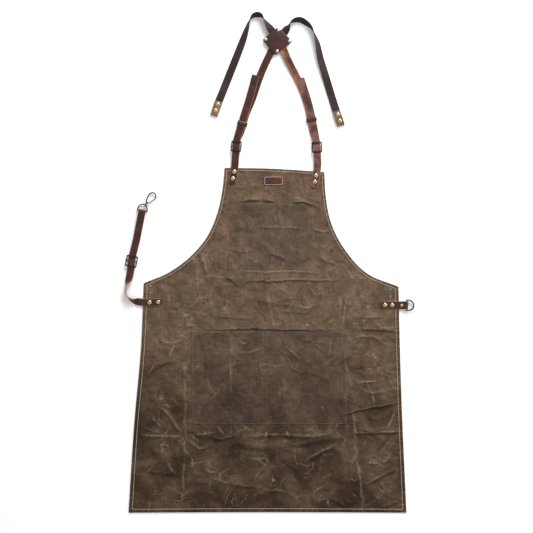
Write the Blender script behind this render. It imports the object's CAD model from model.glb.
"""Looks for the cross-back work apron: waxed cloth, leather, webbing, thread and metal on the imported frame.

Plan positions are in millimetres from the middle of the body panel, whose hem corner fixes where that
is in the frame. Heights are in millimetres above the surface that the apron lies on.
"""

import math
import random

import bmesh
import bpy
import numpy as np
from mathutils import Matrix, Vector, noise
from mathutils.bvhtree import BVHTree
from mathutils.geometry import delaunay_2d_cdt

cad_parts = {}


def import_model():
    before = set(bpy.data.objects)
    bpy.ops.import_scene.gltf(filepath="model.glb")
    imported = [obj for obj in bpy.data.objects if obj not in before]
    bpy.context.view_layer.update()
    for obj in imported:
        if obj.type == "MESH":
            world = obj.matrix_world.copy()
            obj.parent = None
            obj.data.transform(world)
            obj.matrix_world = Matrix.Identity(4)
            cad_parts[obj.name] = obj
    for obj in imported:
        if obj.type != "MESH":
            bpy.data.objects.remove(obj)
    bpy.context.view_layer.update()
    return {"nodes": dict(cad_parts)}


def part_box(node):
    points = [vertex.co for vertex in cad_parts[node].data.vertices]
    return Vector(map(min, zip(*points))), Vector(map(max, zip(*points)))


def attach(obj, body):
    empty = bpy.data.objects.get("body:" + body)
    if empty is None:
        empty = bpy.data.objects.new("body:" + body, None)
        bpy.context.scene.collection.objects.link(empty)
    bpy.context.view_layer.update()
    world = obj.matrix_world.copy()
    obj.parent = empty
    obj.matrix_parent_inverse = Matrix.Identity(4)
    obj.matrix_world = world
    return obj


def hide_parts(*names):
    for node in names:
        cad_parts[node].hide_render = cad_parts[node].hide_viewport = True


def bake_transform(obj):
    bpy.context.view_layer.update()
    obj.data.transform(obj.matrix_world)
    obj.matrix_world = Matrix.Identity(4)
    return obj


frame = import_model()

MM = 0.001
HEM_CORNER = Vector((347.0, -431.0))
panel_low, panel_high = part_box("body_panel")
SHIFT = Vector((panel_high.x / MM - HEM_CORNER.x, panel_low.y / MM - HEM_CORNER.y, 0.0))

# Cloth
CLOTH = 1.2
PANEL_TOP = panel_high.z / MM
HEM_WIDTH = 11.0
BIB_SEAM, SIDE_SEAM = 5.6, 8.4  # the hem seam's distance from the edge
POCKET_CLOTH = 1.0
POCKET_SEAT = PANEL_TOP + 0.2  # underside of a pocket where it is sewn down
MESH_STEP = 4.2                # between points of the cloth meshes
POCKET_STEP = 4.0
POCKET_SEAMS = (2.5, 8.0)      # two rows, inside a pocket's edge

# Leather and webbing
STRAP_WIDTH, STRAP_THICK = 18.5, 2.4
WEBBING_WIDTH, WEBBING_THICK = 19.0, 1.6
TAB_LEATHER = 1.4
ON_PANEL, UNDER, OVER = 2.5, 1.5, 4.2  # lowest heights of a strap
CROSSING = (25.0, 747.0)
LOW_CROSSING, HIGH_CROSSING = 2.6, 5.3

# Routes repeat the solids': x, y, height of the lowest edge, and roll in degrees
LEFT_BIB_STRAP = [
    (-89.5, 390, ON_PANEL, 0), (-86, 405, ON_PANEL, 0), (-83.2, 422, ON_PANEL, 0), (-81.5, 436, ON_PANEL, 0),
    (-80.6, 449, OVER, 0), (-79.8, 460, OVER, 0), (-78.7, 471, OVER - 0.2, 0), (-78.4, 478.5, OVER - 0.2, 0),
    (-78, 484, OVER + 0.15, 0), (-77.6, 489.5, OVER - 0.2, 0), (-77, 496, OVER, 0), (-70.5, 520, OVER, 0),
    (-64.2, 541, OVER, 0), (-58, 562, OVER, 0), (-46, 600, OVER, 0), (-29.3, 661.5, OVER, 0)]
RIGHT_BIB_STRAP = [
    (115.8, 380.5, ON_PANEL, 0), (118, 394, ON_PANEL, 0), (121, 411, ON_PANEL, 0), (124.2, 427, ON_PANEL, 0),
    (125.2, 440, OVER, 0), (124.8, 452, OVER, 0), (124.1, 468.5, OVER - 0.2, 0), (123.7, 476, OVER - 0.2, 0),
    (123.3, 481.6, OVER + 0.15, 0), (122.8, 487.2, OVER - 0.2, 0), (122, 494, OVER, 0), (117, 523, OVER, 0),
    (112.2, 547, OVER, 0), (107.5, 571, OVER, 0), (96.5, 611, OVER, 0), (82.6, 654, OVER, 0)]
LEFT_UPPER_STRAP = [
    (-77.5, 487.5, UNDER, 0), (-76.6, 500, UNDER, 0), (-67.6, 519.1, UNDER, 0), (-61.3, 540.1, UNDER, 0),
    (-55.1, 561.1, UNDER, 0), (-39, 600, UNDER, 0), (-18, 661, UNDER, 0), (-3.5, 695, 2.0, 0),
    (8, 718, LOW_CROSSING, 0), (*CROSSING, LOW_CROSSING, 0)]
RIGHT_UPPER_STRAP = [
    (122.5, 485.2, UNDER, 0), (121.4, 498, UNDER, 0), (114.1, 522.4, UNDER, 0), (109.3, 546.4, UNDER, 0),
    (104.6, 570.4, UNDER, 0), (93, 611, UNDER, 0), (74.3, 654, UNDER, 0), (62, 678, 2.5, 0),
    (51, 700, 4.4, 0), (41, 722.5, HIGH_CROSSING, 0), (*CROSSING, HIGH_CROSSING, 0)]
LEFT_WEBBING = [
    (*CROSSING, 5.7, 0), (18, 760.3, 5.7, 0), (10.6, 772.5, 5.7, 6), (7.6, 776.6, 5.2, 16),
    (2.2, 784, 3.8, 38), (-3.3, 793.3, 1.9, 62), (-9.6, 803.2, 0.4, 87), (-16, 810, 0.3, 112),
    (-25, 812.3, 0.3, 127),
    (-36, 809.5, 0.3, 114), (-43, 801.5, 0.3, 90), (-51, 779, 0.3, 56), (-59, 755.6, 0.3, 32),
    (-76, 711, 0.3, 14), (-97, 658, 0.5, 4), (-114, 615, 1.6, 0), (-121.4, 597, 2.95, 0),
    (-131, 569.5, 2.95, 0)]
RIGHT_WEBBING = [
    (*CROSSING, 3.0, 0), (34.7, 760, 3.0, 0), (44.9, 772.6, 2.9, -10), (49.6, 778.4, 2.2, -38),
    (53.6, 785.2, 1.0, -70), (57, 792, 0.4, -90), (66, 797.5, 0.3, -112), (79, 799.5, 0.3, -128),
    (97, 791, 0.3, -124), (108, 781.5, 0.3, -106), (115, 770, 0.3, -88), (123, 748, 0.3, -60),
    (132, 705, 0.3, -30), (148, 650, 0.5, -10), (162, 603, 1.4, 0), (171.7, 572.5, 2.95, 0),
    (180.5, 544.5, 2.95, 0)]
WAIST_STRAP = [
    (-261.5, 95.8, ON_PANEL, 0), (-277, 94.9, ON_PANEL, 0), (-295, 93.9, ON_PANEL, 0),
    (-307, 94.1, ON_PANEL, 0), (-317.5, 95.4, ON_PANEL, 0), (-324, 96.6, 2.0, -14), (-333, 98, 1.0, -45),
    (-344.5, 104, 0.4, -74), (-352.6, 115.5, 0.2, -89), (-354.3, 128, 0.2, -90), (-350.8, 141, 0.4, -62),
    (-346.6, 150, 1.2, -30), (-343.2, 165, 2.3, -4), (-341.3, 180, ON_PANEL, 0),
    (-339.6, 197, ON_PANEL + 0.1, 0), (-336.2, 214, ON_PANEL, 0), (-326.7, 253, ON_PANEL, 0),
    (-321.6, 279, 3.9, 0),
    (-317.3, 300.6, 5.8, 0),
    (-314.8, 313.3, 6.1, 0)]
WAIST_ALONG = Vector((27.5, 139.0, 0.0)).normalized()
WAIST_BAR = Vector((-313.0, 322.3, 4.3))
WAIST_FOLD_RADIUS = 3.0
WAIST_RETURN = 44.0
RING_TAB = [(281.5, 87.8, ON_PANEL, 0), (300, 87.5, ON_PANEL, 0), (316, 87.2, ON_PANEL, 0),
            (324, 87, ON_PANEL, 0), (330, 87, 3.3, 0), (336, 87, 3.7, 0), (341, 87, 5.5, 0),
            (345, 87, 7.0, 0)]
RING_BAR = Vector((347.0, 87.0, 5.1))
RING_TAB_WIDTH, RING_TAB_THICK = 20.0, 2.0
RING_FOLD_RADIUS = 3.1
RING_RETURN = 15.0
PATCH_CORNERS = [(25.5, 780.5), (-12, 750), (19, 712), (61.5, 746)]
PATCH_THICK = 1.4
PATCH_SEAT = 8.0               # underside of the front patch
TAIL_TABS = {"left": {"mouth": (-121.4, 597), "end": (-134, 560.6)},
             "right": {"mouth": (171.7, 572.5), "end": (184, 535.6)}}

LEATHER_STEP = 2.4


# ---------------------------------------------------------------- materials

class Paint:
    """A Principled material, with short ways to add the nodes behind it."""

    def __init__(self, name, roughness=0.5, metallic=0.0, **sockets):
        self.material = bpy.data.materials.new(name)
        self.material.use_nodes = True
        self.tree = self.material.node_tree
        self.shader = self.tree.nodes["Principled BSDF"]
        self.shader.inputs["Roughness"].default_value = roughness
        self.shader.inputs["Metallic"].default_value = metallic
        for socket, value in sockets.items():
            self.shader.inputs[socket.replace("_", " ")].default_value = value

    def node(self, kind, **settings):
        made = self.tree.nodes.new("ShaderNode" + kind)
        for key, value in settings.items():
            setattr(made, key, value)
        return made

    def put(self, value, socket):
        if isinstance(value, bpy.types.NodeSocket):
            self.tree.links.new(value, socket)
        else:
            socket.default_value = value

    def place(self, scale=(1, 1, 1), source="Object"):
        """Coordinates in millimetres, stretched by scale; source UV runs along a strap."""
        coordinates = self.node("TexCoord").outputs[source]
        mapping = self.node("Mapping")
        unit = 1 / MM if source == "Object" else 1.0
        mapping.inputs["Scale"].default_value = [axis * unit for axis in scale]
        self.put(coordinates, mapping.inputs["Vector"])
        return mapping.outputs["Vector"]

    def noise(self, size, detail=3.0, roughness=0.55, where=None, distortion=0.0):
        """Cloudy noise whose patches are about `size` millimetres across."""
        made = self.node("TexNoise")
        self.put(where or self.place(), made.inputs["Vector"])
        made.inputs["Scale"].default_value = 1 / size
        made.inputs["Detail"].default_value = detail
        made.inputs["Roughness"].default_value = roughness
        made.inputs["Distortion"].default_value = distortion
        return made.outputs["Fac"]

    def cracks(self, size, where):
        """Distance from the edges of cells about `size` millimetres across."""
        made = self.node("TexVoronoi", feature="DISTANCE_TO_EDGE")
        self.put(where, made.inputs["Vector"])
        made.inputs["Scale"].default_value = 1 / size
        return made.outputs["Distance"]

    def bent(self, size, amount):
        """Object coordinates pushed about by noise, which bends whatever is drawn on them."""
        push = self.node("TexNoise")
        self.put(self.place(), push.inputs["Vector"])
        push.inputs["Scale"].default_value = 1 / size
        centred = self.node("VectorMath", operation="SUBTRACT")
        self.put(push.outputs["Color"], centred.inputs[0])
        centred.inputs[1].default_value = (0.5, 0.5, 0.5)
        scaled = self.node("VectorMath", operation="SCALE")
        self.put(centred.outputs[0], scaled.inputs[0])
        scaled.inputs["Scale"].default_value = amount
        moved = self.node("VectorMath", operation="ADD")
        self.put(self.place(), moved.inputs[0])
        self.put(scaled.outputs[0], moved.inputs[1])
        return moved.outputs[0]

    def remap(self, value, low, high, to_low=0.0, to_high=1.0):
        made = self.node("MapRange", interpolation_type="SMOOTHSTEP")
        self.put(value, made.inputs["Value"])
        numbers = {"From Min": low, "From Max": high, "To Min": to_low, "To Max": to_high}
        for socket, number in numbers.items():
            made.inputs[socket].default_value = number
        return made.outputs["Result"]

    def maths(self, operation, first, second=0.0):
        made = self.node("Math", operation=operation)
        self.put(first, made.inputs[0])
        self.put(second, made.inputs[1])
        return made.outputs[0]

    def mix(self, factor, first, second):
        made = self.node("Mix", data_type="RGBA", blend_type="MIX")
        self.put(factor, made.inputs["Factor"])
        for value, socket in ((first, made.inputs[6]), (second, made.inputs[7])):
            self.put((*value, 1.0) if isinstance(value, tuple) and len(value) == 3 else value, socket)
        return made.outputs[2]

    def attribute(self, name):
        return self.node("Attribute", attribute_name=name).outputs["Fac"]

    def waves(self, axis, period, where):
        """A smooth wave from 0 to 1 along one axis of the given coordinates."""
        split = self.node("SeparateXYZ")
        self.put(where, split.inputs[0])
        turned = self.maths("MULTIPLY", split.outputs[axis], 2 * math.pi / period)
        return self.maths("MULTIPLY", self.maths("ADD", self.maths("SINE", turned), 1.0), 0.5)

    def bump(self, height, depth, under=None):
        """A bump whose full height is `depth` millimetres."""
        made = self.node("Bump")
        made.inputs["Distance"].default_value = depth * MM
        made.inputs["Strength"].default_value = 1.0
        self.put(height, made.inputs["Height"])
        if under is not None:
            self.put(under, made.inputs["Normal"])
        return made.outputs["Normal"]

    def done(self, colour, roughness=None, normal=None):
        self.put((*colour, 1.0) if isinstance(colour, tuple) else colour, self.shader.inputs["Base Color"])
        if roughness is not None:
            self.put(roughness, self.shader.inputs["Roughness"])
        if normal is not None:
            self.put(normal, self.shader.inputs["Normal"])
        return self.material


def srgb(red, green, blue):
    """A colour given as a screen shows it, from 0 to 255."""
    return tuple(((value / 255 + 0.055) / 1.055) ** 2.4 if value > 10 else value / 255 / 12.92
                 for value in (red, green, blue))


def toned(colour, factor):
    """A colour made darker or lighter."""
    return tuple(value * factor for value in colour)


THREAD_PITCH = 1.15            # of the canvas, in millimetres
WAX = srgb(160, 140, 116)
WARM = srgb(118, 82, 56)


def canvas_paint(name, upper, lower, streaks, crackle):
    """Waxed canvas: woven threads, rubbed wax, pale crease lines and a tone that darkens towards the hem."""
    paint = Paint(name, roughness=0.7, Sheen_Weight=0.02, Specular_IOR_Level=0.22)
    here = paint.place()
    split = paint.node("SeparateXYZ")
    paint.put(here, split.inputs[0])
    drift = paint.maths("MULTIPLY", paint.noise(150, 2.0), 240.0)
    height = paint.maths("ADD", split.outputs["Y"], drift)
    tone = paint.mix(paint.remap(height, -330, 0), lower, upper)

    clouds = paint.noise(78, 5.0, 0.6, distortion=0.6)
    rubbed = paint.noise(26, 6.0, 0.68, where=paint.bent(60, 30))
    warm = paint.noise(95, 4.0, 0.6, where=paint.place((1.0, 1.0, 1.0)))
    tone = paint.mix(paint.remap(clouds, 0.34, 0.74, 0.0, 0.6), tone, toned(upper, 1.5))
    tone = paint.mix(paint.remap(warm, 0.52, 0.75, 0.0, 0.28), tone, WARM)
    tone = paint.mix(paint.remap(rubbed, 0.34, 0.66, 0.42, 0.0), tone, toned(lower, 0.62))

    warp = paint.noise(1.4, 2.0, where=paint.place((1.0, 0.025, 1.0)))
    weft = paint.noise(1.4, 2.0, where=paint.place((0.03, 1.0, 1.0)))
    slubs = paint.maths("ADD", paint.maths("MULTIPLY", warp, streaks), paint.maths("MULTIPLY", weft, 0.5))
    tone = paint.mix(paint.remap(slubs, 0.3 * (streaks + 0.5), 0.72 * (streaks + 0.5), 0.0, 0.45), tone,
                     toned(lower, 0.5))

    lines = paint.cracks(64, paint.bent(34, 44))
    fine = paint.cracks(24, paint.bent(12, 18))
    crackled = paint.maths("MULTIPLY", paint.remap(lines, 0.002, 0.017, 1.0, 0.0),
                           paint.remap(paint.noise(40, 3.0), 0.46, 0.68, 0.0, crackle))
    veined = paint.maths("MULTIPLY", paint.remap(fine, 0.002, 0.026, 1.0, 0.0),
                         paint.remap(paint.noise(29, 3.0), 0.54, 0.74, 0.0, crackle * 0.8))
    flecked = paint.maths("MAXIMUM", crackled, veined)
    worn = paint.maths("MULTIPLY", paint.attribute("wear"),
                       paint.remap(paint.noise(9, 4.0), 0.3, 0.62, 0.25, 0.9))
    tone = paint.mix(paint.maths("MAXIMUM", flecked, worn), tone, WAX)
    tone = paint.mix(paint.attribute("shade"), tone, toned(lower, 0.16))

    cloth = paint.maths("MAXIMUM", paint.waves("X", THREAD_PITCH, here), paint.waves("Y", THREAD_PITCH, here))
    dents = paint.remap(paint.cracks(46, paint.bent(40, 50)), 0.0, 0.34)
    small_dents = paint.remap(paint.cracks(17, paint.bent(16, 18)), 0.0, 0.3)
    normal = paint.bump(cloth, 0.09)
    normal = paint.bump(slubs, 0.2, normal)
    normal = paint.bump(paint.maths("ADD", rubbed, paint.maths("MULTIPLY", small_dents, 0.5)), 0.7, normal)
    normal = paint.bump(dents, 1.8, normal)
    return paint.done(tone, paint.remap(clouds, 0.3, 0.7, 0.8, 0.62), normal)


def leather_paint(name, dark, light, gloss=0.36):
    """Waxy pulled-up leather: fine grain, cloudy tone and a satin finish."""
    paint = Paint(name, roughness=gloss, Coat_Weight=0.1, Coat_Roughness=0.25, Specular_IOR_Level=0.4)
    clouds = paint.noise(38, 5.0, 0.6, distortion=0.8)
    pores = paint.node("TexVoronoi")
    paint.put(paint.place(), pores.inputs["Vector"])
    pores.inputs["Scale"].default_value = 1 / 0.75
    grain = paint.remap(pores.outputs["Distance"], 0.05, 0.75)
    lines = paint.noise(2.6, 4.0, 0.7)
    tone = paint.mix(paint.remap(clouds, 0.32, 0.7), dark, light)
    tone = paint.mix(paint.remap(lines, 0.3, 0.5, 0.35, 0.0), tone, toned(dark, 0.45))
    normal = paint.bump(grain, 0.06)
    normal = paint.bump(lines, 0.16, normal)
    roughness = paint.remap(clouds, 0.25, 0.75, gloss + 0.1, gloss - 0.08)
    return paint.done(tone, roughness, normal)


def edge_paint(name, colour):
    """The cut edge of leather: fibrous layers, paler than its face."""
    paint = Paint(name, roughness=0.78)
    fibres = paint.noise(1.1, 4.0, 0.75, where=paint.place((0.35, 0.35, 2.4)))
    stained = paint.noise(13, 3.0)
    tone = paint.mix(paint.remap(fibres, 0.35, 0.65, 0.0, 0.55), colour, toned(colour, 0.5))
    tone = paint.mix(paint.remap(stained, 0.42, 0.66, 0.0, 0.5), tone, toned(colour, 0.38))
    return paint.done(tone, normal=paint.bump(fibres, 0.25))


RIB = 1.9                      # of the webbing's weave, in millimetres


def webbing_paint(name, colour):
    """Close herringbone webbing; its weave follows the strap through the strap's own coordinates."""
    paint = Paint(name, roughness=0.85, Sheen_Weight=0.05, Sheen_Roughness=0.5, Specular_IOR_Level=0.2)
    flat = paint.place(source="UV")
    split = paint.node("SeparateXYZ")
    paint.put(flat, split.inputs[0])
    across = paint.maths("PINGPONG", split.outputs["X"], RIB * 1.25)
    slant = paint.maths("ADD", paint.maths("MULTIPLY", split.outputs["Y"], 2 * math.pi / RIB),
                        paint.maths("MULTIPLY", across, 2 * math.pi / RIB))
    twill = paint.maths("MULTIPLY", paint.maths("ADD", paint.maths("SINE", slant), 1.0), 0.5)
    fuzz = paint.noise(1.6, 4.0, 0.7)
    faded = paint.noise(38, 3.0)
    tone = paint.mix(paint.remap(faded, 0.35, 0.65), toned(colour, 0.72), toned(colour, 1.25))
    tone = paint.mix(paint.remap(twill, 0.1, 0.7, 0.5, 0.0), tone, toned(colour, 0.35))
    tone = paint.mix(paint.remap(fuzz, 0.5, 0.8, 0.0, 0.25), tone, toned(colour, 2.1))
    normal = paint.bump(twill, 0.3)
    return paint.done(tone, normal=paint.bump(fuzz, 0.2, normal))


def metal_paint(name, colour, worn, gloss):
    """Plated metal with a little tarnish in it and fine rubbed marks."""
    paint = Paint(name, roughness=gloss, metallic=1.0)
    spots = paint.noise(2.3, 4.0, 0.65)
    marks = paint.noise(0.5, 2.0, where=paint.place((1.0, 0.2, 1.0)))
    tone = paint.mix(paint.remap(spots, 0.42, 0.8, 0.0, 0.7), colour, worn)
    roughness = paint.remap(spots, 0.35, 0.75, gloss - 0.04, gloss + 0.08)
    return paint.done(tone, roughness, paint.bump(marks, 0.012))


def thread_paint(name, colour):
    """Twisted waxed thread."""
    paint = Paint(name, roughness=0.7)
    twist = paint.waves("Y", 0.55, paint.place((0.6, 1.0, 1.0)))
    soiled = paint.noise(6, 3.0)
    tone = paint.mix(paint.remap(soiled, 0.35, 0.7, 0.0, 0.6), colour, toned(colour, 0.62))
    return paint.done(tone, normal=paint.bump(twist, 0.12))


CANVAS = canvas_paint("waxed_canvas", srgb(106, 85, 66), srgb(50, 34, 20), streaks=0.55, crackle=0.5)
POCKETS = canvas_paint("pocket_canvas", srgb(98, 78, 63), srgb(54, 39, 29), streaks=1.1, crackle=0.3)
LEATHER = leather_paint("leather", srgb(32, 10, 8), srgb(74, 32, 26))
PULLED_LEATHER = leather_paint("pulled_leather", srgb(54, 25, 22), srgb(124, 84, 77), gloss=0.3)
FLESH_SIDE = leather_paint("flesh_side_leather", srgb(112, 62, 34), srgb(160, 102, 60), gloss=0.6)
TAB_LEATHER_PAINT = leather_paint("tab_leather", srgb(92, 66, 48), srgb(150, 122, 94), gloss=0.42)
LABEL_LEATHER = leather_paint("label_leather", srgb(58, 18, 15), srgb(84, 32, 26), gloss=0.5)
TAN_EDGE = edge_paint("cut_leather_edge", srgb(196, 146, 96))
WEBBING = webbing_paint("webbing", srgb(58, 42, 41))
BRASS = metal_paint("brass", srgb(206, 188, 144), srgb(128, 105, 70), 0.24)
NICKEL = metal_paint("nickel", srgb(232, 222, 206), srgb(190, 178, 160), 0.2)
GUNMETAL = metal_paint("gunmetal", srgb(66, 60, 56), srgb(20, 18, 17), 0.26)
EYELET_METAL = metal_paint("eyelet_metal", srgb(140, 128, 112), srgb(84, 74, 64), 0.3)
BLACK_METAL = metal_paint("black_metal", srgb(50, 46, 44), srgb(14, 13, 13), 0.26)
THREAD = thread_paint("cream_thread", srgb(214, 198, 168))
BROWN_THREAD = thread_paint("brown_thread", srgb(92, 74, 60))


# ---------------------------------------------------------------- shapes

def world(points):
    """Millimetre positions as the frame's metres."""
    return (np.asarray(points, float) + np.array(SHIFT)) * MM


def spot(x, y, z=0.0):
    return tuple(float(value) for value in world([x, y, z]))


def smoothstep(value, low, high):
    share = np.clip((value - low) / (high - low), 0.0, 1.0)
    return share * share * (3 - 2 * share)


def make(name, verts, faces, paints, face_paint=None, attributes=None, uv=None, sharp=40):
    """A mesh object from millimetre positions, smooth except at sharp angles."""
    data = bpy.data.meshes.new(name)
    data.from_pydata(world(verts).tolist(), [], faces)
    for paint in paints:
        data.materials.append(paint)
    if face_paint is not None:
        data.polygons.foreach_set("material_index", face_paint)
    for key, values in (attributes or {}).items():
        data.attributes.new(key, "FLOAT", "POINT").data.foreach_set("value", np.asarray(values, np.float32))
    if uv is not None:
        corners = np.zeros(len(data.loops), int)
        data.loops.foreach_get("vertex_index", corners)
        data.uv_layers.new(name="strap").data.foreach_set("uv", np.asarray(uv, np.float32)[corners].ravel())
    data.validate()
    data.shade_smooth()
    data.set_sharp_from_angle(angle=math.radians(sharp))
    item = bpy.data.objects.new(name, data)
    bpy.context.collection.objects.link(item)
    return item


def settle(item, body, slot, *nodes):
    """Let a piece ride on a body and stand for its CAD nodes."""
    if body:
        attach(item, body)
    if nodes:
        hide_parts(*nodes)
    return item


def hermite(t):
    """Weights of the start, the slope there, the end and the slope there."""
    return 2 * t ** 3 - 3 * t ** 2 + 1, t ** 3 - 2 * t ** 2 + t, 3 * t ** 2 - 2 * t ** 3, t ** 3 - t ** 2


def smooth_route(points, step):
    """Points about `step` apart on a smooth curve through the given ones; extra values follow along."""
    knots = np.array(points, float)
    lengths = np.linalg.norm(np.diff(knots[:, :3], axis=0), axis=1)
    runs = np.diff(knots, axis=0) / lengths[:, None]
    slopes = [runs[0]]
    for into, out, first, second in zip(runs, runs[1:], lengths, lengths[1:]):
        slopes.append((into * second + out * first) / (first + second))
    slopes.append(runs[-1])
    route = []
    for index, length in enumerate(lengths):
        count = max(1, round(length / step))
        for part in range(count):
            start, leaving, end, arriving = hermite(part / count)
            route.append(knots[index] * start + slopes[index] * length * leaving
                         + knots[index + 1] * end + slopes[index + 1] * length * arriving)
    route.append(knots[-1])
    return np.array(route)


def open_edges(loops):
    """The edges that only one of the faces has, in that face's direction."""
    edges = set()
    for loop in loops:
        for pair in zip(loop, loop[1:] + loop[:1]):
            if pair[::-1] in edges:
                edges.remove(pair[::-1])
            else:
                edges.add(pair)
    return edges


def outline_of(node):
    """The edge of a CAD node's top face, anticlockwise, in millimetres."""
    data = frame["nodes"][node].data
    top = max(vert.co.z for vert in data.vertices)
    plan = [tuple(round(value / MM, 2) for value in vert.co.xy) for vert in data.vertices]
    faces = [face for face in data.polygons
             if face.normal.z >= 0.9 and abs(data.vertices[face.vertices[0]].co.z - top) <= 0.1 * MM]
    following = dict(open_edges([plan[index] for index in face.vertices] for face in faces))
    longest = []
    while following:
        start, here = following.popitem()
        loop = [start]
        while here in following:
            loop.append(here)
            here = following.pop(here)
        if np.ptp(np.array(loop), axis=0).sum() > (np.ptp(np.array(longest), axis=0).sum() if longest else 0):
            longest = loop
    return np.array(longest) - np.array(SHIFT.xy)


def refined(outline, step, corner=20.0):
    """Points about `step` apart round a closed outline, smooth except at its corners."""
    runs = np.roll(outline, -1, axis=0) - outline
    lengths = np.linalg.norm(runs, axis=1)
    headings = runs / lengths[:, None]
    before = np.roll(headings, 1, axis=0)
    sharp = (before * headings).sum(1) < math.cos(math.radians(corner))
    middle = before + headings
    middle /= np.linalg.norm(middle, axis=1)[:, None]
    points = []
    for index in range(len(outline)):
        after = (index + 1) % len(outline)
        out = headings[index] if sharp[index] else middle[index]
        into = headings[index] if sharp[after] else middle[after]
        count = max(1, round(lengths[index] / step))
        for part in range(count):
            start, leaving, end, arriving = hermite(part / count)
            points.append(outline[index] * start + outline[after] * end
                          + lengths[index] * (out * leaving + into * arriving))
    return np.array(points)


def rounded(outline, radius, steps=5):
    """A closed outline with each corner cut back to an arc of about `radius`."""
    points = []
    count = len(outline)
    for index in range(count):
        here = outline[index]
        back = outline[index - 1] - here
        ahead = outline[(index + 1) % count] - here
        start = here + back / np.linalg.norm(back) * radius
        end = here + ahead / np.linalg.norm(ahead) * radius
        for step in range(steps + 1):
            t = step / steps
            points.append(start * (1 - t) ** 2 + here * 2 * t * (1 - t) + end * t ** 2)
    return np.array(points)


def to_path(points, path, closed=False):
    """For each point: its distance from a path, how far along it the nearest place is, and its side."""
    ends = np.roll(path, -1, axis=0) if closed else path[1:]
    starts = path if closed else path[:-1]
    runs = ends - starts
    lengths = np.linalg.norm(runs, axis=1)
    travelled = np.concatenate([[0.0], np.cumsum(lengths)])[:-1]
    distance = np.full(len(points), np.inf)
    along = np.zeros(len(points))
    side = np.ones(len(points))
    for start, run, length, before in zip(starts, runs, lengths, travelled):
        offset = points - start
        share = np.clip(offset @ run / length ** 2, 0.0, 1.0)
        gap = offset - share[:, None] * run
        far = np.hypot(gap[:, 0], gap[:, 1])
        nearer = far < distance
        distance[nearer] = far[nearer]
        along[nearer] = before + share[nearer] * length
        side[nearer] = np.sign(run[0] * offset[nearer, 1] - run[1] * offset[nearer, 0])
    return distance, along, side


def inside(points, outline):
    """Which points lie inside a closed outline."""
    found = np.zeros(len(points), bool)
    for start, end in zip(outline, np.roll(outline, -1, axis=0)):
        crosses = (start[1] > points[:, 1]) != (end[1] > points[:, 1])
        if start[1] != end[1]:
            at = start[0] + (points[:, 1] - start[1]) * (end[0] - start[0]) / (end[1] - start[1])
            found ^= crosses & (points[:, 0] < at)
    return found


def moved_in(outline, distance):
    """A closed outline moved inwards, without the points that would cross at its corners."""
    into = outline - np.roll(outline, 1, axis=0)
    out = np.roll(outline, -1, axis=0) - outline
    normals = [np.stack([-run[:, 1], run[:, 0]], axis=1) / np.linalg.norm(run, axis=1)[:, None]
               for run in (into, out)]
    middle = normals[0] + normals[1]
    middle /= np.linalg.norm(middle, axis=1)[:, None]
    moved = outline + middle * np.reshape(distance, (-1, 1)) / (middle * normals[0]).sum(1)[:, None]
    far, _, _ = to_path(moved, outline, closed=True)
    return moved[far > distance - 0.05]


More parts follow.
